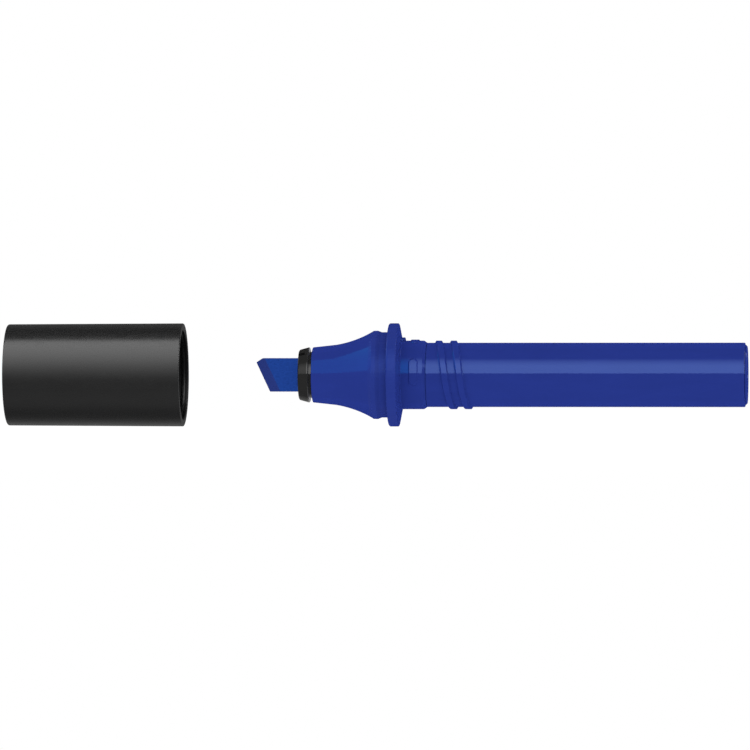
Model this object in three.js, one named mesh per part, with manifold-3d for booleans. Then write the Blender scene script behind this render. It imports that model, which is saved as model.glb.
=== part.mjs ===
// Chisel-tip whiteboard marker lying on its side, with its push-on cap pulled off in front of it.
// Millimetres, +Z up. The marker's axis runs along X: the nib points to -X, the closed rear end to +X.
// The origin is under the middle of the whole set, on the surface that the cap and the flange rest on.
import * as THREE from "three";
import { mergeVertices } from "three/addons/utils/BufferGeometryUtils.js";
import Module from "manifold-3d";

const wasm = await Module();
wasm.setup();

// ---- Driving dimensions -------------------------------------------------------------------------
const CAP_RADIUS = 8.54; // outer radius of the cap's mouth, and of the flange that it meets
const BARREL_RADIUS = 5.31;
const NIB_WIDTH = 5.52;
const NIB_THICKNESS = 2.9;
const WALL = 1.1; // moulded wall of the cap
const BARREL_WALL = 0.85;
const FIT_GAP = 0.05; // radial clearance that stands for a press fit
const SEGMENTS = 48; // facets around every large turned piece
const FINE_SEGMENTS = 24; // facets around the nib's tail and its holes
const HALF_STEP = Math.PI / SEGMENTS; // turns the rings so that a facet, not an edge, faces down

// ---- Stations along the axis (x = 0 lies just ahead of the flange's front face) ----------------------
const NIB_TIP_X = -21.77;
const HOLDER_FRONT_X = -14.66;
const RING_BACK_X = -12.9;
const SECTION_FRONT_X = -12.4;
const BEAD_X = -1.91; // middle of the bead that the cap snaps over
const FLANGE_FRONT_X = 0.25;
const FLANGE_BACK_X = 1.89;
const COLLAR_X = 2.5;
const COLLAR_BACK_X = 6.55;
const BARREL_BACK_X = 59.13;
const REAR_X = 59.49;
const CAP_LENGTH = 29.3;
const CAP_OFF_X = -33.93; // where the mouth of the pulled-off cap lies

// ---- Radii ----------------------------------------------------------------------------------------
const SECTION_FRONT_RADIUS = 4.57;
const BEAD_RADIUS = 7.31;
const GROOVE_RADIUS = 7.06; // between the bead and the flange
const COLLAR_RADIUS = 5.67;
const SPIGOT_RADIUS = 4.7; // barrel's front spigot, pressed into the collar
const SPIGOT_BORE = 3.85; // narrower than the barrel's bore, so that the reservoir stops against it
const BARREL_BORE = BARREL_RADIUS - BARREL_WALL;
const HOLDER_BORE = 3.65; // bore of the front section that grips the nib holder
const TAIL_RADIUS = 1.45;
const FILM_RADIUS = 4.35;
const FILM_THICKNESS = 0.12;

// ---- Helpers --------------------------------------------------------------------------------------

// An outline of [x, radius] points turned about the X axis, outer side first, towards +X.
// It is closed here if it doesn't start on the axis.
function turned(outline, segments = SEGMENTS) {
  const points = outline.map(([x, radius]) => new THREE.Vector2(radius, x));
  if (outline[0][1] > 0) points.push(points[0].clone());
  return new THREE.LatheGeometry(points, segments, HALF_STEP).rotateZ(-Math.PI / 2);
}

// Points of a rounded edge between two [x, radius] ends, bulging towards the corner.
function roundedEdge(start, corner, end, steps = 3) {
  const bend = new THREE.QuadraticBezierCurve(
    new THREE.Vector2(...start),
    new THREE.Vector2(...corner),
    new THREE.Vector2(...end),
  );
  return bend.getPoints(steps).map((p) => [p.x, p.y]);
}

// A closed geometry as a solid that can be joined and cut.
function solid(geometry) {
  const bare = geometry.clone();
  bare.deleteAttribute("normal");
  bare.deleteAttribute("uv");
  const merged = mergeVertices(bare, 1e-4);
  const corners = [];
  for (let i = 0; i < merged.index.count; i += 3) {
    const [a, b, c] = [0, 1, 2].map((k) => merged.index.getX(i + k));
    if (a !== b && b !== c && c !== a) corners.push(a, b, c);
  }
  return new wasm.Manifold(
    new wasm.Mesh({
      numProp: 3,
      vertProperties: merged.attributes.position.array,
      triVerts: new Uint32Array(corners),
    }),
  );
}

// A solid as a geometry that a mesh can hold.
function geometryOf(body) {
  const mesh = body.getMesh();
  return new THREE.BufferGeometry()
    .setAttribute("position", new THREE.BufferAttribute(mesh.vertProperties, 3))
    .setIndex(new THREE.BufferAttribute(mesh.triVerts, 1));
}

function shapeOf(points) {
  return new THREE.Shape(points.map(([x, y]) => new THREE.Vector2(x, y)));
}

function extruded(shape, depth, options = {}) {
  return new THREE.ExtrudeGeometry(shape, { depth, bevelEnabled: false, ...options });
}

// A box between two X stations, of that width in Y, and from one height to another in Z.
function bar(fromX, toX, width, fromZ, toZ) {
  return new THREE.BoxGeometry(toX - fromX, width, toZ - fromZ).translate(
    (fromX + toX) / 2,
    0,
    (fromZ + toZ) / 2,
  );
}

// Copies of a feature made at the top, turned from there towards -Y by each angle.
function around(geometry, degrees) {
  return degrees.map((angle) => solid(geometry.clone().rotateX(THREE.MathUtils.degToRad(angle))));
}

function part(name, geometry, material) {
  const mesh = new THREE.Mesh(geometry, material);
  mesh.name = name;
  return mesh;
}

// ---- Materials ------------------------------------------------------------------------------------
const blackSatin = new THREE.MeshStandardMaterial({ color: 0x1c1c1c, roughness: 0.45, metalness: 0 });
const blackGloss = new THREE.MeshStandardMaterial({ color: 0x1a1a1a, roughness: 0.3, metalness: 0 });
const softWhite = new THREE.MeshStandardMaterial({ color: 0x8e8e8c, roughness: 0.5, metalness: 0 });
const blueGloss = new THREE.MeshStandardMaterial({ color: 0x263686, roughness: 0.25, metalness: 0 });
const inkedFelt = new THREE.MeshStandardMaterial({ color: 0x1f3f8c, roughness: 0.9, metalness: 0 });
const inkedFibre = new THREE.MeshStandardMaterial({ color: 0x1b3172, roughness: 0.95, metalness: 0 });
const clearFilm = new THREE.MeshStandardMaterial({ color: 0x8fa0d0, roughness: 0.2, metalness: 0 });

// ---- Nib: a bevelled chisel blade, with a round tail that draws ink from the reservoir -------------
const BLADE_BACK_X = -6;
const TAIL_BACK_X = 15;
const EDGE_LEAN = THREE.MathUtils.degToRad(25); // of the writing edge, from square to the axis
const TIP_DROP = 0.67; // the tip lies this far below the blade's upper side
const TIP_CHAMFER = 1.11; // length along the axis of the small chamfer above the tip
const BEVEL_LENGTH = 1.63; // square to the writing edge
const EDGE_THICKNESS = 1.2;

// The blade's side view, as a plate.
function bladePlate() {
  const half = NIB_WIDTH / 2;
  const heelX = NIB_TIP_X + (NIB_WIDTH - TIP_DROP) * Math.tan(EDGE_LEAN);
  const outline = shapeOf([
    [NIB_TIP_X, half - TIP_DROP],
    [heelX, -half],
    [BLADE_BACK_X, -half],
    [BLADE_BACK_X, half],
    [NIB_TIP_X + TIP_CHAMFER, half],
  ]);
  return extruded(outline, NIB_THICKNESS)
    .translate(0, 0, -NIB_THICKNESS / 2)
    .rotateX(Math.PI / 2);
}

// A long wedge whose thin side is the writing edge: where it meets the plate, the bevels are left.
function bevelWedge() {
  const reach = 30;
  const thick = NIB_THICKNESS / 2 + 0.01;
  const thin = EDGE_THICKNESS / 2;
  const section = shapeOf([
    [0, -thin],
    [0, thin],
    [-BEVEL_LENGTH, thick],
    [-reach, thick],
    [-reach, -thick],
    [-BEVEL_LENGTH, -thick],
  ]);
  const along = new THREE.Vector3(-Math.sin(EDGE_LEAN), 0, Math.cos(EDGE_LEAN));
  const across = new THREE.Vector3(0, 1, 0);
  const outward = new THREE.Vector3().crossVectors(across, along).negate();
  return extruded(section, 2 * reach)
    .translate(0, 0, -reach)
    .applyMatrix4(new THREE.Matrix4().makeBasis(outward, across.negate(), along))
    .translate(NIB_TIP_X, 0, NIB_WIDTH / 2 - TIP_DROP);
}

function nib() {
  const tail = turned(
    [
      [BLADE_BACK_X - 1, 0],
      [BLADE_BACK_X - 1, TAIL_RADIUS],
      [TAIL_BACK_X - 1, TAIL_RADIUS],
      [TAIL_BACK_X, TAIL_RADIUS / 2],
      [TAIL_BACK_X, 0],
    ],
    FINE_SEGMENTS,
  );
  return geometryOf(solid(bladePlate()).intersect(solid(bevelWedge())).add(solid(tail)));
}

// ---- Nib holder: a ring with air grooves, in front of a slotted plug --------------------------------
const HOLDER_BACK_X = -4.4;
const HOLDER_BODY_RADIUS = HOLDER_BORE - FIT_GAP;
const RING_FRONT_RADIUS = 4.14;
const RING_BACK_RADIUS = 4.6;
const NECK_RADIUS = 3.81;
const AIR_GROOVE_ANGLES = [37, 217];
const AIR_GROOVE_WIDTH = 0.5;

function holderBody() {
  return turned([
    [HOLDER_FRONT_X, 0],
    ...roundedEdge(
      [HOLDER_FRONT_X, RING_FRONT_RADIUS - 0.41],
      [HOLDER_FRONT_X, RING_FRONT_RADIUS - 0.05],
      [HOLDER_FRONT_X + 0.23, RING_FRONT_RADIUS],
    ),
    ...roundedEdge(
      [RING_BACK_X - 0.24, RING_BACK_RADIUS - 0.02],
      [RING_BACK_X, RING_BACK_RADIUS],
      [RING_BACK_X, RING_BACK_RADIUS - 0.24],
    ),
    [RING_BACK_X, NECK_RADIUS],
    [SECTION_FRONT_X - FIT_GAP, NECK_RADIUS],
    [SECTION_FRONT_X - FIT_GAP, HOLDER_BODY_RADIUS],
    [HOLDER_BACK_X - 0.4, HOLDER_BODY_RADIUS],
    [HOLDER_BACK_X, HOLDER_BODY_RADIUS - 0.4],
    [HOLDER_BACK_X, 0],
  ]);
}

function nibHolder() {
  const slotHalf = NIB_WIDTH / 2 + FIT_GAP;
  const slot = bar(
    HOLDER_FRONT_X - 1,
    BLADE_BACK_X + FIT_GAP,
    NIB_THICKNESS + 2 * FIT_GAP,
    -slotHalf,
    slotHalf,
  );
  const tailHole = turned(
    [
      [BLADE_BACK_X - 1, 0],
      [BLADE_BACK_X - 1, TAIL_RADIUS + FIT_GAP],
      [HOLDER_BACK_X + 1, TAIL_RADIUS + FIT_GAP],
      [HOLDER_BACK_X + 1, 0],
    ],
    FINE_SEGMENTS,
  );
  const ringGrooveDepth = 0.6;
  const plugGrooveDepth = 0.22;
  const ringGroove = bar(
    HOLDER_FRONT_X - 1,
    RING_BACK_X - 0.65,
    AIR_GROOVE_WIDTH,
    RING_FRONT_RADIUS - ringGrooveDepth,
    RING_FRONT_RADIUS + 1,
  );
  const plugGroove = bar(
    SECTION_FRONT_X - 2 * FIT_GAP,
    HOLDER_BACK_X + 1,
    AIR_GROOVE_WIDTH,
    HOLDER_BODY_RADIUS - plugGrooveDepth,
    HOLDER_BODY_RADIUS + 0.15,
  );
  const cuts = [
    solid(slot),
    solid(tailHole),
    ...around(ringGroove, AIR_GROOVE_ANGLES),
    ...around(plugGroove, AIR_GROOVE_ANGLES),
  ];
  return geometryOf(cuts.reduce((whole, cut) => whole.subtract(cut), solid(holderBody())));
}

// ---- Front section: flared grip, snap bead, flange, and a collar with locking bosses ----------------
const FLARE_START_X = -8.6;
const HOLDER_BORE_END_X = -8.2;
const CHAMBER_RADIUS = 5.9; // hollow under the bead
const PILL_ANGLES = [-85, 0, 85];
const PILL_HEIGHT = 0.17;
const PILL_LENGTH = 4.6;
const PILL_WIDTH = 1.57;
const PILL_X = 4.59;
const STOP_RADIUS = 6.2; // the square stop stands on the flange's back, on top
const STOP_WIDTH = 1.6;
const STOP_BACK_X = 3.02;

function flare() {
  const curve = new THREE.CubicBezierCurve(
    new THREE.Vector2(FLARE_START_X, 4.97),
    new THREE.Vector2(-6.5, 5.3),
    new THREE.Vector2(-4.3, 6.08),
    new THREE.Vector2(BEAD_X - 0.46, BEAD_RADIUS - 0.06),
  );
  return curve.getPoints(7).map((p) => [p.x, p.y]);
}

// A low pill lying along the collar's circumference, and bounded by a ring of its own height.
function pillBosses() {
  const halfStraight = (PILL_LENGTH - PILL_WIDTH) / 2;
  const outline = new THREE.Shape();
  outline.absarc(0, halfStraight, PILL_WIDTH / 2, 0, Math.PI);
  outline.absarc(0, -halfStraight, PILL_WIDTH / 2, Math.PI, 2 * Math.PI);
  const pill = extruded(outline, COLLAR_RADIUS + 1, { curveSegments: 6 }).translate(PILL_X, 0, 0);
  const ring = collarRing(PILL_X - PILL_WIDTH, PILL_X + PILL_WIDTH, COLLAR_RADIUS + PILL_HEIGHT);
  return around(pill, PILL_ANGLES).map((column) => column.intersect(ring));
}

function stopBoss() {
  const block = bar(COLLAR_X - 1, STOP_BACK_X + 1, STOP_WIDTH, 0, STOP_RADIUS + 1);
  return solid(block).intersect(collarRing(COLLAR_X - 0.3, STOP_BACK_X, STOP_RADIUS));
}

// A ring around the collar, sunk a little into it.
function collarRing(frontX, backX, radius) {
  const sunk = COLLAR_RADIUS - 0.4;
  return solid(
    turned([
      [frontX, sunk],
      [frontX, radius],
      [backX, radius],
      [backX, sunk],
    ]),
  );
}

function frontSection() {
  const collarBore = SPIGOT_RADIUS + FIT_GAP;
  const outer = [
    ...roundedEdge(
      [SECTION_FRONT_X, SECTION_FRONT_RADIUS - 0.15],
      [SECTION_FRONT_X, SECTION_FRONT_RADIUS],
      [SECTION_FRONT_X + 0.15, SECTION_FRONT_RADIUS],
      2,
    ),
    ...flare(),
    [BEAD_X - 0.29, BEAD_RADIUS],
    [BEAD_X + 0.29, BEAD_RADIUS],
    [BEAD_X + 0.95, GROOVE_RADIUS],
    [FLANGE_FRONT_X, GROOVE_RADIUS],
    ...roundedEdge(
      [FLANGE_FRONT_X, CAP_RADIUS - 0.4],
      [FLANGE_FRONT_X, CAP_RADIUS],
      [FLANGE_FRONT_X + 0.35, CAP_RADIUS],
      4,
    ),
    [FLANGE_BACK_X - 0.12, CAP_RADIUS],
    [FLANGE_BACK_X, CAP_RADIUS - 0.12],
    [COLLAR_X, COLLAR_RADIUS],
    [COLLAR_BACK_X - 0.5, COLLAR_RADIUS],
    [COLLAR_BACK_X, BARREL_RADIUS + 0.02],
  ];
  const inner = [
    [COLLAR_BACK_X, collarBore],
    [0.9, collarBore],
    [0.5, CHAMBER_RADIUS],
    [BEAD_X, CHAMBER_RADIUS],
    [-4.4, 5.1],
    [-6.4, 4.3],
    [HOLDER_BORE_END_X, HOLDER_BORE],
    [SECTION_FRONT_X, HOLDER_BORE],
  ];
  const shell = solid(turned([...outer, ...inner]));
  return geometryOf([...pillBosses(), stopBoss()].reduce((whole, boss) => whole.add(boss), shell));
}

// ---- Barrel: slim ink tube with a front spigot and two parallel quick-thread ribs -------------------
const THREAD_LEAD = 4.9; // right-handed, two-start
const THREAD_TOP_X = 8.51; // where the first rib crosses the top of the barrel
const RIB_HEIGHT = 0.36;
const RIB_CREST = 0.85;
const RIB_BASE = 1.35;
const RIB_START = THREE.MathUtils.degToRad(-14); // from the top, towards -Y
const RIB_END = THREE.MathUtils.degToRad(194);
const RIB_RAMP = THREE.MathUtils.degToRad(10); // each end rises over this much of a turn

// A straight bar of trapezium section, wound onto the barrel as a helix with sloping ends.
function threadRib(topX) {
  const sunk = 0.25;
  const section = shapeOf([
    [-RIB_BASE / 2, -sunk],
    [RIB_BASE / 2, -sunk],
    [RIB_BASE / 2, 0],
    [RIB_CREST / 2, RIB_HEIGHT],
    [-RIB_CREST / 2, RIB_HEIGHT],
    [-RIB_BASE / 2, 0],
  ]);
  const rib = extruded(section, RIB_END - RIB_START, { steps: 30 });
  const place = rib.attributes.position;
  for (let i = 0; i < place.count; i++) {
    const turn = RIB_START + place.getZ(i);
    const rise = Math.min(1, 0.05 + Math.min(turn - RIB_START, RIB_END - turn) / RIB_RAMP);
    const height = place.getY(i) > 0 ? place.getY(i) * rise : place.getY(i);
    const radius = BARREL_RADIUS + height;
    const x = topX + place.getX(i) + (THREAD_LEAD * turn) / (2 * Math.PI);
    place.setXYZ(i, x, -radius * Math.sin(turn), radius * Math.cos(turn));
  }
  return solid(rib);
}

function barrel() {
  const spigotFrontX = 1;
  const shoulderX = COLLAR_BACK_X + FIT_GAP;
  const tube = turned([
    [spigotFrontX, SPIGOT_RADIUS - 0.3],
    [spigotFrontX + 0.3, SPIGOT_RADIUS],
    [shoulderX, SPIGOT_RADIUS],
    [shoulderX, BARREL_RADIUS],
    [BARREL_BACK_X, BARREL_RADIUS],
    [BARREL_BACK_X, BARREL_BORE],
    [shoulderX + 0.8, BARREL_BORE],
    [shoulderX + 0.3, SPIGOT_BORE],
    [spigotFrontX, SPIGOT_BORE],
  ]);
  const ribs = [THREAD_TOP_X, THREAD_TOP_X + THREAD_LEAD / 2].map(threadRib);
  return geometryOf(ribs.reduce((whole, rib) => whole.add(rib), solid(tube)));
}

// ---- Rear plug: chamfered end disc on a hollow spigot, with crossed fins that stop the reservoir -----
const PLUG_FRONT_X = 54.3;
const FIN_FRONT_X = 52.6;
const PLUG_RADIUS = BARREL_BORE - FIT_GAP;
const PLUG_WALL = 0.9;
const FIN_THICKNESS = 0.8;

function rearPlug() {
  const headX = BARREL_BACK_X + FIT_GAP;
  const headRadius = BARREL_RADIUS - 0.3;
  const innerX = REAR_X - 1.2;
  const cup = turned([
    [innerX, 0],
    [innerX, PLUG_RADIUS - PLUG_WALL],
    [PLUG_FRONT_X, PLUG_RADIUS - PLUG_WALL],
    [PLUG_FRONT_X, PLUG_RADIUS - 0.3],
    [PLUG_FRONT_X + 0.4, PLUG_RADIUS],
    [headX, PLUG_RADIUS],
    [headX, headRadius],
    [REAR_X, headRadius - (REAR_X - headX)],
    [REAR_X, 0],
  ]);
  const finHalf = PLUG_RADIUS - PLUG_WALL + 0.3;
  const fin = bar(FIN_FRONT_X, innerX + 0.3, FIN_THICKNESS, -finHalf, finHalf);
  return geometryOf(around(fin, [0, 90]).reduce((whole, one) => whole.add(one), solid(cup)));
}

// ---- Reservoir: inked fibre rod, bored for the nib's tail, in a film sleeve --------------------------
const RESERVOIR_FRONT_X = 7.6;
const RESERVOIR_BACK_X = FIN_FRONT_X - 0.1;

function inkReservoir() {
  const radius = FILM_RADIUS - FILM_THICKNESS - FIT_GAP;
  const boreEndX = TAIL_BACK_X + 0.3;
  const bore = TAIL_RADIUS + FIT_GAP;
  return turned([
    [boreEndX, 0],
    [boreEndX, bore],
    [RESERVOIR_FRONT_X, bore],
    [RESERVOIR_FRONT_X, radius],
    [RESERVOIR_BACK_X, radius],
    [RESERVOIR_BACK_X, 0],
  ]);
}

function reservoirFilm() {
  return turned([
    [RESERVOIR_FRONT_X, FILM_RADIUS],
    [RESERVOIR_BACK_X, FILM_RADIUS],
    [RESERVOIR_BACK_X, FILM_RADIUS - FILM_THICKNESS],
    [RESERVOIR_FRONT_X, FILM_RADIUS - FILM_THICKNESS],
  ]);
}

// ---- Cap, from its mouth (x = 0) back to its closed end (x = -CAP_LENGTH) ----------------------------
const CAP_END_RADIUS = 8.4; // slight draft towards the closed end
const CAP_END_WALL = 1.4;
const CAP_BORE = CAP_RADIUS - WALL;
const LIP_RADIUS = BEAD_RADIUS + 0.06; // snap lip, opened to a clearance so that the cap can slide
const CAP_FLOOR_X = -CAP_LENGTH + CAP_END_WALL;
const SEAL_RADIUS = 5.12; // inside of the inner seal, which closes on the front section's flare
const SEAL_WALL = 0.75;
const SEAL_MOUTH_X = -8.25;
const SOCKET_DEPTH = 3; // ring on the cap's floor that grips the inner seal
const SOCKET_WALL = 0.65;

function capShell() {
  const socketBore = SEAL_RADIUS + SEAL_WALL + FIT_GAP;
  return turned([
    [-CAP_LENGTH, 0],
    ...roundedEdge(
      [-CAP_LENGTH, CAP_END_RADIUS - 0.35],
      [-CAP_LENGTH, CAP_END_RADIUS],
      [-CAP_LENGTH + 0.35, CAP_END_RADIUS],
      4,
    ),
    ...roundedEdge([-0.18, CAP_RADIUS], [0, CAP_RADIUS], [0, CAP_RADIUS - 0.18], 2),
    [0, LIP_RADIUS + 0.15],
    [-0.15, LIP_RADIUS],
    [-0.7, LIP_RADIUS],
    [-0.95, CAP_BORE],
    [CAP_FLOOR_X + 0.3, CAP_BORE - 0.15],
    [CAP_FLOOR_X, CAP_BORE - 0.45],
    [CAP_FLOOR_X, socketBore + SOCKET_WALL],
    [CAP_FLOOR_X + SOCKET_DEPTH, socketBore + SOCKET_WALL],
    [CAP_FLOOR_X + SOCKET_DEPTH, socketBore],
    [CAP_FLOOR_X, socketBore],
    [CAP_FLOOR_X, 0],
  ]);
}

// Inner cup that keeps the nib airtight. Its closed end is pressed into the cap's socket ring.
function capInnerSeal() {
  const outside = SEAL_RADIUS + SEAL_WALL;
  const backX = CAP_FLOOR_X + FIT_GAP;
  return turned([
    [backX, 0],
    [backX, outside - 0.2],
    [backX + 0.2, outside],
    [SEAL_MOUTH_X - 0.4, outside],
    [SEAL_MOUTH_X, outside - 0.25],
    [SEAL_MOUTH_X, SEAL_RADIUS + 0.2],
    [SEAL_MOUTH_X - 0.3, SEAL_RADIUS],
    [SEAL_MOUTH_X - 1.1, SEAL_RADIUS],
    [SEAL_MOUTH_X - 1.5, SEAL_RADIUS + 0.1],
    [backX + SEAL_WALL, SEAL_RADIUS],
    [backX + SEAL_WALL, 0],
  ]);
}

// ---- Assembly -------------------------------------------------------------------------------------
const marker = new THREE.Group();
marker.add(
  part("nib", nib(), inkedFelt),
  part("nib_holder", nibHolder(), blackGloss),
  part("front_section", frontSection(), blueGloss),
  part("barrel", barrel(), blueGloss),
  part("rear_plug", rearPlug(), blueGloss),
  part("ink_reservoir", inkReservoir(), inkedFibre),
  part("reservoir_film", reservoirFilm(), clearFilm),
);

const cap = new THREE.Group();
cap.position.x = CAP_OFF_X;
cap.add(
  part("cap_shell", capShell(), blackSatin),
  part("cap_inner_seal", capInnerSeal(), softWhite),
);

const wholeSet = new THREE.Group();
const middleX = (CAP_OFF_X - CAP_LENGTH + REAR_X) / 2;
wholeSet.position.set(-middleX, 0, CAP_RADIUS * Math.cos(HALF_STEP));
wholeSet.add(marker, cap);

export default wholeSet;
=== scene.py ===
"""Looks of the chisel-tip whiteboard marker and its pulled-off cap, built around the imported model.

Lengths in the constants are millimetres. Stations along the marker are measured from just ahead of
its flange, and stations in the cap from its mouth, both + towards the marker's rear end. Radii are
distances from the marker's axis, which is the cap's axis too.
"""

import math

import bpy
import numpy as np
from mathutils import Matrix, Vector, noise


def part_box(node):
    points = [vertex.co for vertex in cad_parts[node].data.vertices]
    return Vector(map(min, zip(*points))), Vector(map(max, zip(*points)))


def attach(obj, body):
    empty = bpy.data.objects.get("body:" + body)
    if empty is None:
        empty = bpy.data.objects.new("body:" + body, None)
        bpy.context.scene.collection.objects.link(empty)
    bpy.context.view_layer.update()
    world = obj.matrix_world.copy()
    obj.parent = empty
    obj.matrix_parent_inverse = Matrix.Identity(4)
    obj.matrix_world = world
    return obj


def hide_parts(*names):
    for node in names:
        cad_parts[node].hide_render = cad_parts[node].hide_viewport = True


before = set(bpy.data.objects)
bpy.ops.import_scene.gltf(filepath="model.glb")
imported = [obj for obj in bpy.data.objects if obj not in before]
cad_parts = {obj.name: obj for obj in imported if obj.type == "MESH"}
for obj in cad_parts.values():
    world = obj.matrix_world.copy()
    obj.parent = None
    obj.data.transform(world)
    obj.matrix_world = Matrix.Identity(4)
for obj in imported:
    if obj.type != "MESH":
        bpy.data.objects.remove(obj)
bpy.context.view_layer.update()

MM = 0.001
CAP_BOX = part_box("cap_shell")
SECTION_AHEAD = 12.4  # the front section begins this far ahead of station 0
AXIS_Z = (CAP_BOX[0].z + CAP_BOX[1].z) / 2
FLANGE_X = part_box("front_section")[0].x + SECTION_AHEAD * MM
MOUTH_X = CAP_BOX[1].x
REAR_X = (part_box("rear_plug")[1].x - FLANGE_X) / MM
CAP_LENGTH = (CAP_BOX[1].x - CAP_BOX[0].x) / MM

CAP_RADIUS = 8.54  # of the cap's mouth, and of the flange
CAP_END_RADIUS = 8.4
CAP_WALL = 1.1
BEAD_RADIUS = 7.31
COLLAR_RADIUS = 5.67
BARREL_RADIUS = 5.31
BARREL_BORE = 4.46
SPIGOT_RADIUS = 4.7  # of the barrel's front, which is pressed into the collar
SPIGOT_BORE = 3.85
SPIGOT_FRONT = 1
HOLDER_PLUG_RADIUS = 3.6
FIT_GAP = 0.05
SLACK = 0.01  # tells a surface from one just under it


# ---- Turned shapes ------------------------------------------------------------------------------


def filleted(outline, steps=6):
    """An outline of (x, radius) or (x, radius, fillet) corners, with each fillet as an arc.

    A support point on each side of an arc keeps the smooth shading of the straight runs true."""
    points = []
    last = len(outline) - 1
    for i, corner in enumerate(outline):
        here = np.array(corner[:2], float)
        size = corner[2] if len(corner) > 2 else 0
        if not size or i in (0, last):
            points.append(here)
            continue
        back = np.array(outline[i - 1][:2], float) - here
        ahead = np.array(outline[i + 1][:2], float) - here
        room_back, room_ahead = np.linalg.norm(back), np.linalg.norm(ahead)
        back, ahead = back / room_back, ahead / room_ahead
        half = math.acos(float(np.clip(back @ ahead, -1, 1))) / 2
        reach = min(size / math.tan(half), 0.45 * room_back, 0.45 * room_ahead)
        radius = reach * math.tan(half)
        middle = here + (back + ahead) / np.linalg.norm(back + ahead) * radius / math.sin(half)
        start, end = here + back * reach, here + ahead * reach
        sweep = math.pi - 2 * half
        support = 0.3 * reach
        points.append(start + back * support)
        for k in range(steps + 1):
            share = k / steps
            a, b = math.sin((1 - share) * sweep), math.sin(share * sweep)
            points.append(middle + ((start - middle) * a + (end - middle) * b) / math.sin(sweep))
        points.append(end + ahead * support)
    return [(float(x), float(r)) for x, r in points]


def subdivided(start, end, step):
    """Points from start towards end, both (x, radius), no further apart than step."""
    count = max(1, math.ceil(math.dist(start, end) / step))
    return [
        (start[0] + (end[0] - start[0]) * k / count, start[1] + (end[1] - start[1]) * k / count)
        for k in range(count)
    ]


def bezier(a, b, c, d, count):
    """Points of a cubic curve through (x, radius) ends a and d."""
    share = np.linspace(0, 1, count)[:, None]
    a, b, c, d = (np.array(p, float) for p in (a, b, c, d))
    curve = (
        a * (1 - share) ** 3
        + 3 * b * share * (1 - share) ** 2
        + 3 * c * share**2 * (1 - share)
        + d * share**3
    )
    return [(float(x), float(r)) for x, r in curve]


def turned(name, outline, origin_x, segments=192, relief=None, slant=None):
    """A closed mesh: the outline turned about the marker's axis, outer side first, towards +X.

    The turn is measured from the top towards -Y. relief(x, turn, radii) gives the new radii, and
    slant(x, turn) gives how far the points of a ring are moved along the axis."""
    on_axis = [r < 1e-6 for _, r in outline]
    closed = not on_axis[0]
    turn = np.arange(segments) * 2 * math.pi / segments
    vertices, rings = [], []
    for (x, r), single in zip(outline, on_axis):
        rings.append((len(vertices), single))
        if single:
            vertices.append((origin_x + x * MM, 0.0, AXIS_Z))
            continue
        radii = np.full(segments, r)
        if relief is not None:
            radii = relief(x, turn, radii)
        shift = np.zeros(segments) if slant is None else slant(x, turn)
        xs = origin_x + (x + shift) * MM
        ys, zs = -radii * np.sin(turn) * MM, AXIS_Z + radii * np.cos(turn) * MM
        vertices += np.column_stack([xs, ys, zs]).tolist()
    faces = []
    pairs = list(zip(rings, rings[1:]))
    if closed:
        pairs.append((rings[-1], rings[0]))
    for (first, first_single), (second, second_single) in pairs:
        for j in range(segments):
            k = (j + 1) % segments
            if first_single:
                faces.append((first, second + k, second + j))
            elif second_single:
                faces.append((first + j, first + k, second))
            else:
                faces.append((first + j, first + k, second + k, second + j))
    mesh = bpy.data.meshes.new(name)
    mesh.from_pydata(vertices, [], faces)
    return placed(name, mesh)


def radius_of(face):
    """Distance of a face's middle from the marker's axis, in metres."""
    return math.hypot(face.center.y, face.center.z - AXIS_Z)


def placed(name, mesh):
    piece = bpy.data.objects.new(name, mesh)
    bpy.context.scene.collection.objects.link(piece)
    return piece


def smooth(piece, sharp_degrees=38):
    piece.data.shade_smooth()
    piece.data.set_sharp_from_angle(angle=math.radians(sharp_degrees))
    return piece


def smoothstep(value):
    value = np.clip(value, 0, 1)
    return value * value * (3 - 2 * value)


def cut(piece, cutters):
    """Cuts the cutters out of the piece, and removes them."""
    for cutter in cutters:
        modifier = piece.modifiers.new("cut", "BOOLEAN")
        modifier.operation = "DIFFERENCE"
        modifier.solver = "EXACT"
        modifier.object = cutter
    settle(piece)
    for cutter in cutters:
        bpy.data.objects.remove(cutter)
    return piece


def settle(piece):
    """Applies the piece's modifiers to its mesh."""
    bpy.context.view_layer.update()
    evaluated = piece.evaluated_get(bpy.context.evaluated_depsgraph_get())
    mesh = bpy.data.meshes.new_from_object(evaluated)
    piece.modifiers.clear()
    piece.data = mesh
    mesh.name = piece.name


def bar(name, from_x, to_x, width, from_r, to_r, turn=0):
    """A box between two stations along the marker, at a height over its axis, turned about it."""
    corners = []
    for x in (from_x, to_x):
        for y in (-width / 2, width / 2):
            for r in (from_r, to_r):
                across = y * math.cos(turn) - r * math.sin(turn)
                up = y * math.sin(turn) + r * math.cos(turn)
                corners.append((FLANGE_X + x * MM, across * MM, AXIS_Z + up * MM))
    faces = [(0, 1, 3, 2), (4, 6, 7, 5), (0, 4, 5, 1), (2, 3, 7, 6), (0, 2, 6, 4), (1, 5, 7, 3)]
    mesh = bpy.data.meshes.new(name)
    mesh.from_pydata(corners, [], faces)
    return placed(name, mesh)


# ---- Cap ----------------------------------------------------------------------------------------

CAP_FLOOR = -CAP_LENGTH + 1.4
LIP_CLEARANCE = 0.06
SEAL_RADIUS = 5.12
SEAL_OUTSIDE = 5.87
SEAL_MOUTH = -8.25
SEAL_FLOOR = 0.75  # thickness of the seal's closed end
SOCKET_WALL = 0.65  # of the ring on the cap's floor that holds the seal
SOCKET_DEPTH = 3
GATE_RADIUS = 0.9  # shallow mark that the moulding gate leaves on a closed end
GATE_DEPTH = 0.12


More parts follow.
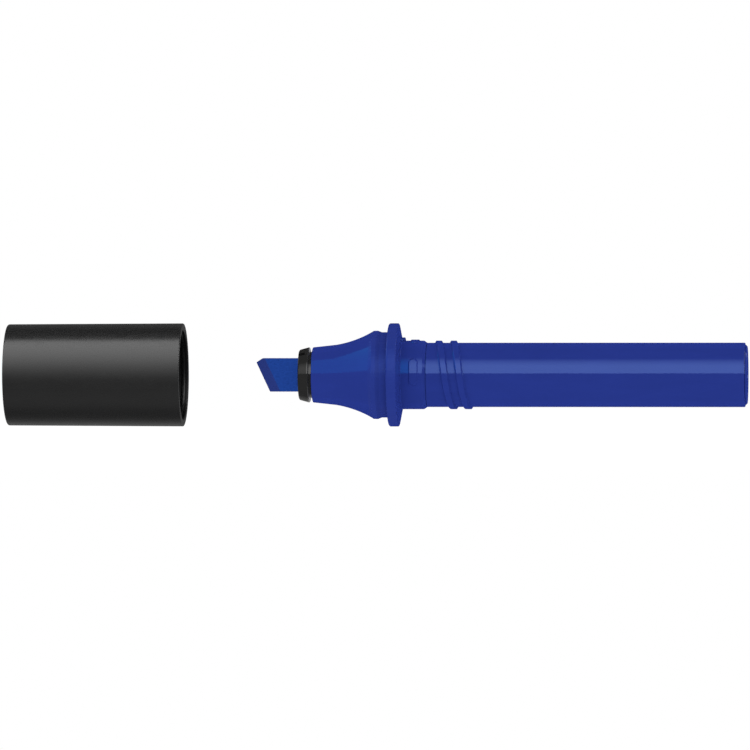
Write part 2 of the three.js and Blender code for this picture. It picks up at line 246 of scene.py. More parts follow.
def gate_mark(end_x, inwards):
    """Outline of the mark, from the axis outwards. inwards is +1 or -1, the way into the end."""
    floor = end_x + inwards * GATE_DEPTH
    return [(floor, 0), (floor, GATE_RADIUS * 0.75, 0.1), (end_x, GATE_RADIUS, 0.06)]


def make_cap():
    bore = CAP_RADIUS - CAP_WALL
    socket = SEAL_OUTSIDE + FIT_GAP
    socket_mouth = CAP_FLOOR + SOCKET_DEPTH
    lip = BEAD_RADIUS + LIP_CLEARANCE
    outline = [
        *gate_mark(-CAP_LENGTH, 1),
        (-CAP_LENGTH, CAP_END_RADIUS, 0.32),
        (0, CAP_RADIUS, 0.18),
        (0, lip + 0.2, 0.06),
        (-0.16, lip + 0.04, 0.05),
        (-0.55, lip + 0.04, 0.05),
        (-0.7, lip - 0.04, 0.05),
        (-0.95, lip - 0.04, 0.05),
        (-1.15, bore, 0.1),
        (CAP_FLOOR, bore - 0.15, 0.3),
        (CAP_FLOOR, socket + SOCKET_WALL, 0.2),
        (socket_mouth, socket + SOCKET_WALL, 0.15),
        (socket_mouth, socket, 0.12),
        (CAP_FLOOR, socket),
        (CAP_FLOOR, 0),
    ]
    piece = turned("cap", filleted(outline), MOUTH_X, 256)
    closed_end = MOUTH_X - (CAP_LENGTH - 1) * MM
    # The bore's faces get the darker inside plastic: painted shade inside the cap.
    for face in piece.data.polygons:
        inside = radius_of(face) < (lip + 0.15) * MM and face.center.x > closed_end
        face.material_index = int(inside)
    return piece


def make_cap_inner():
    back = CAP_FLOOR + FIT_GAP
    outline = [
        (back, 0),
        (back, SEAL_OUTSIDE, 0.2),
        (SEAL_MOUTH, SEAL_OUTSIDE, 0.25),
        (SEAL_MOUTH, SEAL_RADIUS + 0.1, 0.2),
        (SEAL_MOUTH - 0.45, SEAL_RADIUS, 0.1),
        (SEAL_MOUTH - 1.1, SEAL_RADIUS, 0.1),
        (SEAL_MOUTH - 1.5, SEAL_RADIUS + 0.1, 0.1),
        (back + SEAL_FLOOR, SEAL_RADIUS, 0.4),
        (back + SEAL_FLOOR, 0),
    ]
    return turned("cap_inner", filleted(outline), MOUTH_X)


# ---- Front section ------------------------------------------------------------------------------

BEAD_X = -1.91
SECTION_BORE = HOLDER_PLUG_RADIUS + FIT_GAP
FLANGE_FRONT, FLANGE_BACK = 0.25, 1.85
FLANGE_FOOT = 2.42  # where the sloping back of the flange meets the collar
PILL_TURNS = (-85, 0, 85)
PILL_X = 4.59
PILL_HALF_WIDTH = 0.785
PILL_HALF_STRAIGHT = 1.515
PILL_HEIGHT = 0.17
PILL_EDGE = 0.18
STOP_RADIUS = 6.2
STOP_FRONT, STOP_BACK = 2.2, 3.02
STOP_HALF_WIDTH = 0.8
STOP_EDGE = 0.12
COLLAR_FRONT, COLLAR_BACK = 2.5, 6.55
COLLAR_CHAMFER = 0.5
COLLAR_STEP = 0.05
FLANGE_BACK_STEP = 0.08


def collar_relief(x, turn, radii):
    """Raises the pill bosses and the square stop out of the collar."""
    if not FLANGE_BACK + 0.05 < x < COLLAR_BACK - COLLAR_CHAMFER - 0.05:
        return radii
    if radii[0] < COLLAR_RADIUS - SLACK:
        return radii
    raised = radii.copy()
    for degrees in PILL_TURNS:
        away = (turn - math.radians(degrees) + math.pi) % (2 * math.pi) - math.pi
        along = np.abs(away) * COLLAR_RADIUS - PILL_HALF_STRAIGHT
        edge = PILL_HALF_WIDTH - np.hypot(x - PILL_X, np.maximum(along, 0))
        raised = np.maximum(raised, COLLAR_RADIUS + PILL_HEIGHT * smoothstep(edge / PILL_EDGE))
    across = np.abs((turn + math.pi) % (2 * math.pi) - math.pi) * STOP_RADIUS
    edge = min(x - STOP_FRONT, STOP_BACK - x)
    mask = smoothstep(np.minimum(edge, STOP_HALF_WIDTH - across) / STOP_EDGE)
    return np.maximum(raised, COLLAR_RADIUS + (STOP_RADIUS - COLLAR_RADIUS) * mask)


def make_front_section():
    flare = bezier((-8.6, 4.97), (-6.5, 5.3), (-4.3, 6.08), (BEAD_X - 0.46, 7.23), 40)
    head = filleted(
        [
            (-SECTION_AHEAD, SECTION_BORE),
            (-SECTION_AHEAD, 4.56, 0.16),
            flare[0],
        ]
    )[1:-1]
    neck_radius = 7.06
    collar_bore = SPIGOT_RADIUS + FIT_GAP
    collar_end = COLLAR_BACK - COLLAR_CHAMFER
    neck = filleted(
        [
            flare[-2],
            (BEAD_X - 0.4, BEAD_RADIUS - 0.02, 0.25),
            (BEAD_X + 0.29, BEAD_RADIUS, 0.25),
            (BEAD_X + 0.95, neck_radius, 0.2),
            (FLANGE_FRONT, neck_radius, 0.12),
            (FLANGE_FRONT, CAP_RADIUS, 0.3),
            (FLANGE_BACK, CAP_RADIUS, 0.16),
            (FLANGE_FOOT, COLLAR_RADIUS + 0.1),
        ]
    )[1:]
    collar = filleted(
        [neck[-1], (COLLAR_FRONT, COLLAR_RADIUS, 0.12), (collar_end, COLLAR_RADIUS)]
    )[1:-1]
    back = filleted(
        [
            (collar_end - 0.4, COLLAR_RADIUS),
            (collar_end, COLLAR_RADIUS, 0.12),
            (COLLAR_BACK, BARREL_RADIUS + 0.03, 0.05),
            (COLLAR_BACK, collar_bore, 0.05),
            (SPIGOT_FRONT - 0.1, collar_bore),
        ]
    )[1:-1]
    inside = [
        (SPIGOT_FRONT - 0.1, collar_bore),
        (0.5, 5.9),
        (BEAD_X, 5.9),
        (-4.4, 5.1),
        (-6.4, 4.3),
        (-8.2, SECTION_BORE),
    ]
    outline = [
        *head,
        *flare[:-2],
        *subdivided(flare[-2], neck[0], COLLAR_STEP),
        *neck,
        *collar,
        *subdivided(collar[-1], back[0], COLLAR_STEP)[1:],
        *back,
        *inside,
        (-SECTION_AHEAD, SECTION_BORE),
    ]
    fine = []
    for start, end in zip(outline, outline[1:]):
        is_behind = FLANGE_BACK + SLACK < start[0] <= COLLAR_FRONT
        on_flange_back = is_behind and start[1] > COLLAR_RADIUS
        fine += subdivided(start, end, FLANGE_BACK_STEP) if on_flange_back else [start]
    return turned("front_section_body", fine, FLANGE_X, 384, collar_relief)


# ---- Barrel and rear plug -----------------------------------------------------------------------

THREAD_LEAD = 4.9
RIB_TOPS = (8.51, 10.96)
RIB_HEIGHT = 0.36
RIB_HALF_CREST = 0.425
RIB_FLANK = 0.25
RIB_START, RIB_END = math.radians(-14), math.radians(194)
RIB_RAMP = math.radians(10)
RIB_REACH = RIB_HALF_CREST + RIB_FLANK
THREAD_START, THREAD_FINISH = 7.2, 14.9
RIBS_START, RIBS_FINISH = RIB_TOPS[0] - RIB_REACH - 0.05, RIB_TOPS[1] + RIB_REACH + 0.05
THREAD_STEP, PLAIN_STEP = 0.05, 0.2
BARREL_END = REAR_X - 0.36


def thread_slant(x, turn):
    """Winds the rings of points along the thread, and back again where there are no ribs."""
    whole = 2 * math.pi
    start, end = RIB_START - RIB_RAMP, RIB_END + RIB_RAMP
    wound = np.interp(turn, (0, end, start + whole, whole), (0, end, start, 0))
    share = np.interp(x, (THREAD_START, RIBS_START, RIBS_FINISH, THREAD_FINISH), (0, 1, 1, 0))
    return THREAD_LEAD / whole * wound * share


def thread_relief(x, turn, radii):
    """Raises the two ribs out of the barrel. They run along the rings, which are wound already."""
    if not RIBS_START < x < RIBS_FINISH or radii[0] < BARREL_RADIUS - SLACK:
        return radii
    wound = np.where(turn > RIB_END, turn - 2 * math.pi, turn)
    ends = smoothstep(np.minimum(wound - RIB_START, RIB_END - wound) / RIB_RAMP)
    flank = max((RIB_REACH - abs(x - top)) / RIB_FLANK for top in RIB_TOPS)
    return radii + RIB_HEIGHT * ends * smoothstep(flank)


def make_barrel():
    shoulder = COLLAR_BACK + FIT_GAP
    plain_end = BARREL_END - 2
    front = filleted(
        [
            (SPIGOT_FRONT, SPIGOT_RADIUS - 0.5),
            (SPIGOT_FRONT, SPIGOT_RADIUS, 0.25),
            (shoulder, SPIGOT_RADIUS),
            (shoulder, BARREL_RADIUS, 0.05),
            (THREAD_START, BARREL_RADIUS),
        ]
    )
    back = filleted(
        [
            (plain_end, BARREL_RADIUS),
            (BARREL_END, BARREL_RADIUS, 0.16),
            (BARREL_END, BARREL_BORE, 0.05),
            (shoulder + 0.8, BARREL_BORE),
            (shoulder + 0.3, SPIGOT_BORE),
            (SPIGOT_FRONT, SPIGOT_BORE),
        ]
    )
    surface = []
    stations = (THREAD_START, RIBS_START, RIBS_FINISH, THREAD_FINISH, plain_end)
    steps = (PLAIN_STEP, THREAD_STEP, PLAIN_STEP, 2)
    for start, finish, step in zip(stations, stations[1:], steps):
        surface += subdivided((start, BARREL_RADIUS), (finish, BARREL_RADIUS), step)
    outline = front[1:-1] + surface + back
    return turned("barrel_tube", outline, FLANGE_X, 384, thread_relief, thread_slant)


def make_rear_plug():
    head, rim = BARREL_END + FIT_GAP, BARREL_RADIUS - 0.3
    front, inner = 54.3, REAR_X - 1.2
    radius = BARREL_BORE - FIT_GAP
    bore = radius - 0.9
    outline = [
        (inner, 0),
        (inner, bore, 0.3),
        (front, bore, 0.1),
        (front, radius, 0.3),
        (head, radius),
        (head, rim, 0.04),
        (REAR_X, rim - 0.31, 0.08),
        *reversed(gate_mark(REAR_X, -1)),
    ]
    return turned("rear_end_plug", filleted(outline), FLANGE_X)


# ---- Nib and holder -----------------------------------------------------------------------------

HOLDER_FRONT, RING_BACK, HOLDER_BACK = -14.66, -12.9, -4.4
HOLDER_NECK_RADIUS = 3.81  # between the ring and the front section
GROOVE_END = RING_BACK - 0.65
AIR_GROOVE_TURNS = (37, 217)
AIR_GROOVE_WIDTH = 0.5
AIR_GROOVE_FLOOR = 3.54  # radius of the grooves' floor in the ring
TAIL_HOLE_RADIUS = 1.48  # a little less than half the slot's width, which it opens into
TAIL_HOLE_FRONT, SLOT_END = -6.5, -5.95


def make_nib_holder():
    neck_end = -SECTION_AHEAD - FIT_GAP
    outline = [
        (HOLDER_FRONT, 0),
        (HOLDER_FRONT, 4.13, 0.34),
        (RING_BACK, 4.61, 0.16),
        (RING_BACK, HOLDER_NECK_RADIUS, 0.05),
        (neck_end, HOLDER_NECK_RADIUS),
        (neck_end, HOLDER_PLUG_RADIUS),
        (HOLDER_BACK, HOLDER_PLUG_RADIUS, 0.4),
        (HOLDER_BACK, TAIL_HOLE_RADIUS),
        (TAIL_HOLE_FRONT, TAIL_HOLE_RADIUS),
        (TAIL_HOLE_FRONT, 0),
    ]
    piece = turned("nib_holder_ring", filleted(outline), FLANGE_X)
    nib_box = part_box("nib")
    half_y = (nib_box[1].y - nib_box[0].y) / 2 / MM + FIT_GAP
    half_z = (nib_box[1].z - nib_box[0].z) / 2 / MM + FIT_GAP
    ahead, behind = HOLDER_FRONT - 1, HOLDER_BACK + 1
    cutters = [bar("slot", ahead, SLOT_END, 2 * half_y, -half_z, half_z)]
    in_ring = (ahead, GROOVE_END, AIR_GROOVE_WIDTH, AIR_GROOVE_FLOOR, 5.1)
    in_plug = (neck_end - 0.05, behind, AIR_GROOVE_WIDTH, 3.38, HOLDER_PLUG_RADIUS + 0.15)
    for turn in map(math.radians, AIR_GROOVE_TURNS):
        cutters += [bar("ring_groove", *in_ring, turn), bar("plug_groove", *in_plug, turn)]
    return cut(piece, cutters)


def is_in_ring_groove(point):
    """Whether a point of the nib holder's surface is on a wall of one of the ring's air grooves."""
    y, z = point.y / MM, (point.z - AXIS_Z) / MM
    for turn in map(math.radians, AIR_GROOVE_TURNS):
        sideways = y * math.cos(turn) + z * math.sin(turn)
        height = z * math.cos(turn) - y * math.sin(turn)
        if abs(sideways) < AIR_GROOVE_WIDTH / 2 + SLACK and height > AIR_GROOVE_FLOOR - SLACK:
            return point.x < FLANGE_X + (GROOVE_END + SLACK) * MM
    return False


FELT_VOXEL = 0.074
FELT_FUZZ = 0.022  # how far the felt's fibres stand proud or lie low
FIBRE_LENGTH, FIBRE_WIDTH = 0.45, 0.13


def make_nib():
    """The blade and tail, remeshed finely, with softened edges and a fibrous surface."""
    piece = placed("nib_felt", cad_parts["nib"].data.copy())
    piece.data.materials.clear()
    remesh = piece.modifiers.new("fine", "REMESH")
    remesh.mode = "VOXEL"
    remesh.voxel_size = FELT_VOXEL * MM
    soften = piece.modifiers.new("soften", "SMOOTH")
    soften.factor = 0.5
    soften.iterations = 3
    settle(piece)
    mesh = piece.data
    places, normals = np.zeros((2, len(mesh.vertices), 3))
    mesh.vertices.foreach_get("co", places.ravel())
    mesh.vertices.foreach_get("normal", normals.ravel())
    # The fibres run along the nib, so the pattern is stretched along X.
    stretch = Vector((1 / FIBRE_LENGTH, 1 / FIBRE_WIDTH, 1 / FIBRE_WIDTH)) / MM
    fuzz = [noise.fractal(Vector(p) * stretch, 0.6, 2.1, 3) for p in places]
    places += normals * np.array(fuzz)[:, None] * FELT_FUZZ * MM
    mesh.vertices.foreach_set("co", places.ravel())
    mesh.update()
    return piece


# ---- Reservoir ----------------------------------------------------------------------------------

RESERVOIR_FRONT, RESERVOIR_BACK = 7.6, 52.5
RESERVOIR_RADIUS = 4.18
FILM_INSIDE, FILM_OUTSIDE = 4.23, 4.35


def make_reservoir():
    bore_end, bore = 15.3, 1.5  # the hole that the nib's tail sits in
    outline = [
        (bore_end, 0),
        (bore_end, bore),
        (RESERVOIR_FRONT, bore, 0.1),
        (RESERVOIR_FRONT, RESERVOIR_RADIUS, 0.15),
        (RESERVOIR_BACK, RESERVOIR_RADIUS, 0.15),
        (RESERVOIR_BACK, 0),
    ]
    return turned("fibre_reservoir", filleted(outline), FLANGE_X, 96)


def make_sleeve():
    outline = [
        (RESERVOIR_FRONT, (FILM_INSIDE + FILM_OUTSIDE) / 2),
        (RESERVOIR_FRONT, FILM_OUTSIDE),
        (RESERVOIR_BACK, FILM_OUTSIDE),
        (RESERVOIR_BACK, FILM_INSIDE),
        (RESERVOIR_FRONT, FILM_INSIDE),
    ]
    return turned("reservoir_sleeve", outline, FLANGE_X, 96)


# ---- Materials ----------------------------------------------------------------------------------


def node(tree, kind, inputs=None, **settings):
    """Adds a shader node. An input is a value, or another node's output to link from."""
    made = tree.nodes.new(kind)
    for name, value in settings.items():
        setattr(made, name, value)
    for name, value in (inputs or {}).items():
        if isinstance(value, bpy.types.NodeSocket):
            tree.links.new(value, made.inputs[name])
        else:
            made.inputs[name].default_value = value
    return made


def place_mm(tree, stretch=(1, 1, 1)):
    """The point on the piece in millimetres, stretched along the axes."""
    place = node(tree, "ShaderNodeTexCoord").outputs["Object"]
    scale = [s / MM for s in stretch]
    return node(tree, "ShaderNodeMapping", {"Vector": place, "Scale": scale}).outputs["Vector"]


def clouds(tree, place, per_mm, detail=3.0, distortion=0.0):
    inputs = {"Vector": place, "Scale": per_mm, "Detail": detail, "Distortion": distortion}
    return node(tree, "ShaderNodeTexNoise", inputs).outputs[0]


def ramp(tree, factor, stops):
    """Maps a factor to colours, given as (position, (r, g, b)) stops."""
    made = node(tree, "ShaderNodeValToRGB", {"Fac": factor})
    elements = made.color_ramp.elements
    while len(elements) < len(stops):
        elements.new(0.5)
    for element, (position, colour) in zip(elements, stops):
        element.position = position
        element.color = (*colour, 1)
    return made.outputs["Color"]


def between(tree, factor, low, high):
    """A number from low to high as the factor goes from 0.3 to 0.7."""
    inputs = {"Value": factor, "From Min": 0.3, "From Max": 0.7, "To Min": low, "To Max": high}
    return node(tree, "ShaderNodeMapRange", inputs).outputs["Result"]


def bump(tree, height, depth_mm, strength=1.0, under=None):
    inputs = {"Height": height, "Distance": depth_mm * MM, "Strength": strength}
    if under is not None:
        inputs["Normal"] = under
    return node(tree, "ShaderNodeBump", inputs).outputs["Normal"]


def shaded(colour, amount):
    return tuple(channel * amount for channel in colour)


def plastic(name, colour, roughness, specular, tint=(1, 1, 1), grain=(0.0, 1.0), streaks=0.06):
    """Moulded plastic: slight flow streaks, uneven polish, and a grain of (depth, size) in mm."""
    material = bpy.data.materials.new(name)
    material.use_nodes = True
    tree = material.node_tree
    shader = tree.nodes["Principled BSDF"]
    flow = clouds(tree, place_mm(tree, (0.12, 0.5, 0.5)), 0.8, 4, 0.6)
    speck = clouds(tree, place_mm(tree), 1 / grain[1], 2)
    colours = [
        (0.32, shaded(colour, 1 - streaks)),
        (0.52, colour),
        (0.7, shaded(colour, 1 + streaks)),
    ]
    tree.links.new(ramp(tree, flow, colours), shader.inputs["Base Color"])
    rubbed = clouds(tree, place_mm(tree, (0.35, 1, 1)), 1.6, 5)
    polish = between(tree, rubbed, roughness * 0.88, roughness * 1.12)
    tree.links.new(polish, shader.inputs["Roughness"])
    shader.inputs["Specular IOR Level"].default_value = specular
    shader.inputs["Specular Tint"].default_value = (*tint, 1)
    waviness = bump(tree, flow, 0.004)
    tree.links.new(bump(tree, speck, grain[0], 1.0, waviness), shader.inputs["Normal"])
    return material


def felt(name, colour, painted_shade_colour, fibre_mm, depth_mm):
    """Ink-soaked fibres lying along X, with painted shade on the faces that look towards the tip."""
    material = bpy.data.materials.new(name)
    material.use_nodes = True
    tree = material.node_tree
    shader = tree.nodes["Principled BSDF"]
    along = clouds(tree, place_mm(tree, (0.3, 1, 1)), 1 / fibre_mm, 3, 0.4)
    blotch = clouds(tree, place_mm(tree), 1.1, 3)
    fibres = ramp(tree, along, [(0.3, shaded(colour, 0.86)), (0.7, shaded(colour, 1.12))])
    # Painted shade: the faces that look towards the tip get the darker colour.
    ends = ramp(tree, along, [(0.3, shaded(painted_shade_colour, 0.9)), (0.7, shaded(painted_shade_colour, 1.08))])
    normal = node(tree, "ShaderNodeNewGeometry").outputs["Normal"]
    facing = node(tree, "ShaderNodeSeparateXYZ", {"Vector": normal}).outputs["X"]
    inputs = {"Value": facing, "From Min": -0.3, "From Max": -0.1, "To Min": 1, "To Max": 0}
    painted_shade_mask = node(tree, "ShaderNodeMapRange", inputs).outputs["Result"]
    mixed = node(tree, "ShaderNodeMix", data_type="RGBA")
    tree.links.new(painted_shade_mask, mixed.inputs[0])
    tree.links.new(fibres, mixed.inputs[6])
    tree.links.new(ends, mixed.inputs[7])
    tree.links.new(mixed.outputs[2], shader.inputs["Base Color"])
    tree.links.new(between(tree, blotch, 0.78, 0.95), shader.inputs["Roughness"])
    shader.inputs["Specular IOR Level"].default_value = 0
    tree.links.new(bump(tree, along, depth_mm), shader.inputs["Normal"])
    return material


BLUE = (0.0200, 0.0378, 0.2500)
BLACK = (0.0165, 0.0165, 0.0168)
HOLDER_BLACK = (0.021, 0.021, 0.021)
NIB_BLUE = (0.0142, 0.0537, 0.284)
# Painted shade colour for the felt's faces that look towards the tip.
NIB_PAINTED_SHADE_BLUE = (0.0236, 0.0415, 0.210)
FIBRE_BLUE = (0.011, 0.031, 0.168)
FILM_BLUE = (0.27, 0.35, 0.63)
SEAL_GREY = (0.045, 0.045, 0.045)
GLOSS_TINT = (0.29, 0.48, 1.0)
FLARE_TINT = (0.0, 0.6, 1.0)
COLLAR_TINT = (0.0, 0.29, 1.0)
FINE_GRAIN = (0.0006, 0.4)


def make_materials():
    blue = {"colour": BLUE, "grain": FINE_GRAIN, "streaks": 0.035}
    return {
        "cap": plastic("black_satin", BLACK, 0.26, 0.5, grain=(0.004, 0.14), streaks=0.05),
        # The inside plastic is the black darkened, as painted shade in the cap's bore and the ring's
        # air grooves.
        "inside": plastic("black_painted_shade", shaded(BLACK, 0.35), 0.3, 0.3, grain=(0.001, 0.3)),
        "seal": plastic("seal_grey", SEAL_GREY, 0.45, 0.4, grain=(0.003, 0.3)),
        "ring": plastic("black_ring", HOLDER_BLACK, 0.12, 0.12, grain=FINE_GRAIN),
        "holder": plastic("black_holder", HOLDER_BLACK, 0.12, 0.45, grain=FINE_GRAIN),
        "flare": plastic("blue_flare", **blue, roughness=0.08, specular=0.19, tint=FLARE_TINT),
        "collar": plastic("blue_collar", **blue, roughness=0.08, specular=0.38, tint=COLLAR_TINT),
        "bead": plastic("blue_bead", **blue, roughness=0.26, specular=0.13, tint=GLOSS_TINT),
        "gloss": plastic("blue_gloss", **blue, roughness=0.07, specular=0.5, tint=GLOSS_TINT),
        "nib": felt("blue_felt", NIB_BLUE, NIB_PAINTED_SHADE_BLUE, 0.16, 0.05),
        "fibre": felt("blue_fibre", FIBRE_BLUE, FIBRE_BLUE, 0.06, 0.04),
        "film": plastic("clear_film", FILM_BLUE, 0.2, 0.5, grain=(0.002, 0.5)),
    }


# ---- Pieces -------------------------------------------------------------------------------------


def finished(piece, node_name, body, slot, *materials):
    for material in materials:
        piece.data.materials.append(material)
    smooth(piece)
    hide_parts(node_name)
    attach(piece, body)
    return piece


def finish_by_station(piece, slots, stations):
    """Gives the faces ahead of, between and behind the stations the material of each slot."""
    limits = [FLANGE_X + station * MM for station in stations]
    for face in piece.data.polygons:
        face.material_index = slots[sum(face.center.x > limit for limit in limits)]


def finish_front_section(piece):
    flare, bead, gloss, collar = range(4)
    pill_front = PILL_X - PILL_HALF_WIDTH
    stations = (BEAD_X - 0.84, FLANGE_BACK + 0.03, COLLAR_FRONT - 0.04, pill_front - 0.005)
    finish_by_station(piece, (flare, bead, gloss, collar, gloss), stations)
    for face in piece.data.polygons:
        if face.material_index == collar and radius_of(face) > (COLLAR_RADIUS + 0.02) * MM:
            face.material_index = bead


def finish_nib_holder(piece):
    ring, plug, groove = range(3)
    finish_by_station(piece, (ring, plug), (GROOVE_END,))
    # The air grooves' walls get the darker inside plastic: painted shade in the grooves.
    for face in piece.data.polygons:
        if is_in_ring_groove(face.center):
            face.material_index = groove
    piece.visible_diffuse = False  # so that the ring doesn't shade the felt beside it


looks = make_materials()
cap_pieces = [
    finished(make_cap(), "cap_shell", "cap", "cap_plastic", looks["cap"], looks["inside"]),
    finished(make_cap_inner(), "cap_inner_seal", "cap", "seal_plastic", looks["seal"]),
]
# The third look is the darker inside plastic, painted shade for the ring's air grooves.
ring_looks = (looks["ring"], looks["holder"], looks["inside"])
nib_holder = finished(make_nib_holder(), "nib_holder", "marker", "holder_plastic", *ring_looks)
finish_nib_holder(nib_holder)
section_looks = (looks["flare"], looks["bead"], looks["gloss"], looks["collar"])
front_section = finished(
    make_front_section(), "front_section", "marker", "blue_plastic", *section_looks
)
finish_front_section(front_section)
marker_pieces = [
    front_section,
    finished(make_barrel(), "barrel", "marker", "blue_plastic", looks["gloss"]),
    finished(make_rear_plug(), "rear_plug", "marker", "blue_plastic", looks["gloss"]),
    finished(make_nib(), "nib", "marker", "nib_felt", looks["nib"]),
    finished(make_reservoir(), "ink_reservoir", "marker", "reservoir_fibre", looks["fibre"]),
    finished(make_sleeve(), "reservoir_film", "marker", "film_plastic", looks["film"]),
]


# ---- Stage --------------------------------------------------------------------------------------

FLOOR_REACH = 0.6  # metres
FLOOR_DROP = 0.04  # so that the floor is just under the turned pieces' true lowest line


def make_floor():
    sides = 96
    turns = [2 * math.pi * k / sides for k in range(sides)]
    points = [
        (FLOOR_REACH * math.cos(turn), FLOOR_REACH * math.sin(turn), -FLOOR_DROP * MM)
        for turn in turns
    ]
    mesh = bpy.data.meshes.new("floor")
    mesh.from_pydata(points, [], [tuple(range(sides))])
    floor = placed("floor", mesh)
    material = bpy.data.materials.new("pale_floor")
    material.use_nodes = True
    shader = material.node_tree.nodes["Principled BSDF"]
    shader.inputs["Base Color"].default_value = (0.05, 0.05, 0.05, 1)
    shader.inputs["Roughness"].default_value = 1
    shader.inputs["Specular IOR Level"].default_value = 0
    shader.inputs["Emission Color"].default_value = (1, 1, 1, 1)
    shader.inputs["Emission Strength"].default_value = 1
    mesh.materials.append(material)
    floor.visible_glossy = False
    floor.visible_shadow = False


def make_world():
    """Even white light all round. Reflections come from the softboxes only."""
    world = bpy.data.worlds.new("white_studio")
    bpy.context.scene.world = world
    world.use_nodes = True
    background = world.node_tree.nodes["Background"]
    background.inputs["Color"].default_value = (1, 1, 1, 1)
    background.inputs["Strength"].default_value = 1
    world.cycles_visibility.glossy = False


# Softboxes. Columns are at x in metres, and a stop is (degrees, glow). The angle about the marker's
# axis is 0 at the front horizon, 90 overhead, 180 behind and -90 underneath. Radii are in metres,
# and boxes that overlap have different ones.
WIDE = (-1.3, 1.3)
RING_END = 0.03  # between the boxes that the ring's front and its rear edge reflect
KEY_X = (-0.1, 0.85)
RING_KEY_X = (-1.4, 0.85)
KEY = ((5.4, 3.2), (32, 3.2), (40, 2.6), (47, 1.9), (54, 0.9), (60, 0))
RING_KEY = tuple((angle, 0.85 * glow) for angle, glow in KEY)
FLARE_GLOW = 3.2
FLARE_COLOUR = (0.0, 0.48, 1.0)
FLARE_EDGES = (  # (x, lower edge, upper edge)
    (-1.4, 25, 116),
    (-0.51, 12, 114),
    (-0.335, 9, 91),
    (-0.1, 5.4, 58),
)
CAP_KEY = (
    (-86, 0),
    (-74, 0.1),
    (-58, 0.16),
    (-40, 0.12),
    (-12, 0.08),
    (0, 0.38),
    (15, 0.95),
    (29, 1.7),
    (43, 2.4),
    (58, 2.9),
    (80, 3.2),
    (84, 3.2),
    (84.5, 0),
)
# Dim light from behind, which only grazing views reflect.
CAP_RIM = (
    (118, 0),
    (124, 0.03),
    (132, 0.09),
    (180, 0.12),
    (210, 0.28),
    (227, 0.22),
    (237, 0.12),
    (254, 0),
)
RING_RIM = ((186, 0), (200, 0.4), (236, 0.5), (250, 0))
RING_BACK_RIM = ((70, 0), (110, 0.35), (180, 0.5), (200, 1), (290, 0.8), (320, 0))
BLUE_RIM = ((100, 0), (115, 1), (180, 1), (245, 1), (260, 0))
BEHIND = ((122, 0), (132, 1.2), (160, 2.2), (174, 2.2))


def softbox(name, lit, columns, radius, colour=(1, 1, 1)):
    """A curved glowing sheet round the marker's axis, which only the lit pieces reflect.

    Each column is (x, stops), with the same number of stops in every column."""
    vertices, glow = [], []
    for x, stops in columns:
        for degrees, strength in stops:
            angle = math.radians(degrees)
            vertices.append((x, -radius * math.cos(angle), AXIS_Z + radius * math.sin(angle)))
            glow.append(strength)
    rows = len(columns[0][1])
    faces = [
        (i * rows + j, (i + 1) * rows + j, (i + 1) * rows + j + 1, i * rows + j + 1)
        for i in range(len(columns) - 1)
        for j in range(rows - 1)
    ]
    mesh = bpy.data.meshes.new(name)
    mesh.from_pydata(vertices, [], faces)
    attribute = mesh.attributes.new("glow", "FLOAT", "POINT")
    attribute.data.foreach_set("value", glow)
    mesh.materials.append(glowing_material(name, colour))
    sheet = placed(name, mesh)
    for ray in ("camera", "diffuse", "transmission", "volume_scatter", "shadow"):
        setattr(sheet, "visible_" + ray, False)
    sheet.light_linking.receiver_collection = lit


def glowing_material(name, colour):
    """Glows by the mesh's glow. It is clear as well, so it doesn't hide a sheet behind it."""
    material = bpy.data.materials.new(name)
    material.use_nodes = True
    tree = material.node_tree
    tree.nodes.clear()
    strength = node(tree, "ShaderNodeAttribute", attribute_name="glow").outputs["Fac"]
    emission = node(tree, "ShaderNodeEmission", {"Strength": strength, "Color": (*colour, 1)})
    glowing = node(tree, "ShaderNodeAddShader")
    tree.links.new(emission.outputs[0], glowing.inputs[0])
    tree.links.new(node(tree, "ShaderNodeBsdfTransparent").outputs[0], glowing.inputs[1])
    node(tree, "ShaderNodeOutputMaterial", {"Surface": glowing.outputs[0]})
    return material


def even(ends, stops):
    """Two equal columns, at the two ends."""
    return [(x, stops) for x in ends]


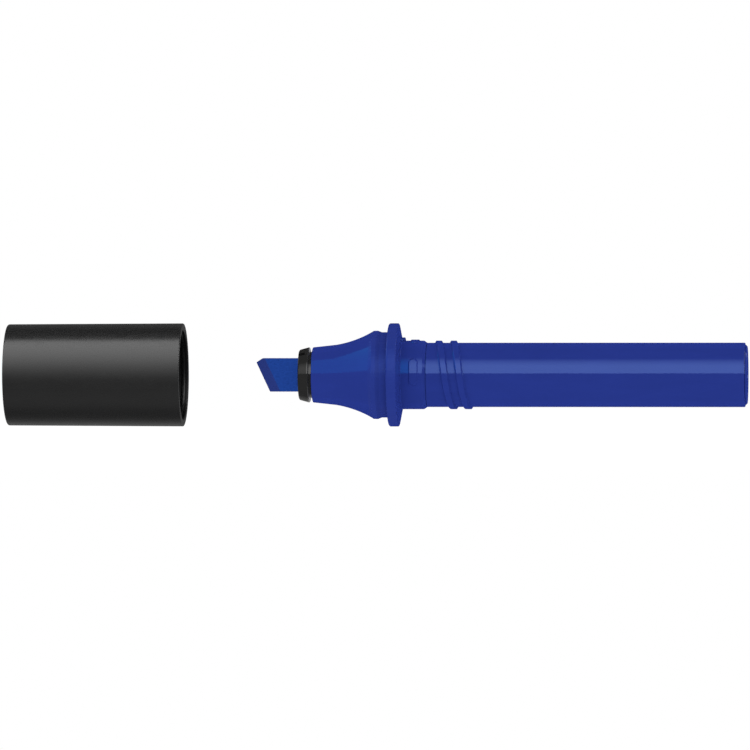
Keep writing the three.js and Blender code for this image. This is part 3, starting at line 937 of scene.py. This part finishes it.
def flare_column(x, low, high):
    """A column of the box that the flare's slope reflects, sharp at both edges."""
    edge = low + 0.96 * (high - low)
    glowing = (low, (low + high) / 2, edge)
    return (x, [*((angle, FLARE_GLOW) for angle in glowing), (high, 0)])


def collected(name, pieces):
    group = bpy.data.collections.new(name)
    for piece in pieces:
        group.objects.link(piece)
    return group


def make_lights():
    cap = collected("lit_cap", cap_pieces)
    ring = collected("lit_ring", [nib_holder])
    marker = collected("lit_marker", marker_pieces)
    flare_columns = [flare_column(*edges) for edges in FLARE_EDGES]
    softbox("marker_key", marker, even(KEY_X, KEY), 0.5)
    softbox("ring_key", ring, even(RING_KEY_X, RING_KEY), 0.53)
    softbox("flare_key", marker, flare_columns, 0.5, FLARE_COLOUR)
    softbox("cap_key", cap, even(WIDE, CAP_KEY), 0.56)
    softbox("cap_rim", cap, even(WIDE, CAP_RIM), 0.6)
    softbox("ring_rim", ring, even((WIDE[0], RING_END), RING_RIM), 0.62)
    softbox("ring_back_rim", ring, even((RING_END, WIDE[1]), RING_BACK_RIM), 0.62)
    softbox("blue_rim", marker, even(WIDE, BLUE_RIM), 0.64, BLUE)
    for lit, radius in ((marker, 0.5), (ring, 0.53), (cap, 0.56)):
        softbox("back_left", lit, even((-1.5, -0.5), BEHIND), radius)
        softbox("back_right", lit, even((0.5, 1.5), BEHIND), radius)


def make_camera():
    """Level, a little round to the marker's rear, with a very long lens."""
    azimuth = math.radians(4.6)
    distance = 1.33  # metres
    frame_width = 0.12407
    target = Vector((FLANGE_X - 2.12 * MM, 0, AXIS_Z - 0.02 * MM))
    data = bpy.data.cameras.new("camera")
    data.lens = data.sensor_width * distance / frame_width
    data.clip_end = 20
    camera = bpy.data.objects.new("camera", data)
    bpy.context.scene.collection.objects.link(camera)
    back = Vector((math.sin(azimuth), -math.cos(azimuth), 0))
    camera.location = target + back * distance
    camera.rotation_euler = (-back).to_track_quat("-Z", "Y").to_euler()
    bpy.context.scene.camera = camera


make_floor()
make_world()
make_lights()
make_camera()
bpy.context.scene.view_settings.view_transform = "Standard"
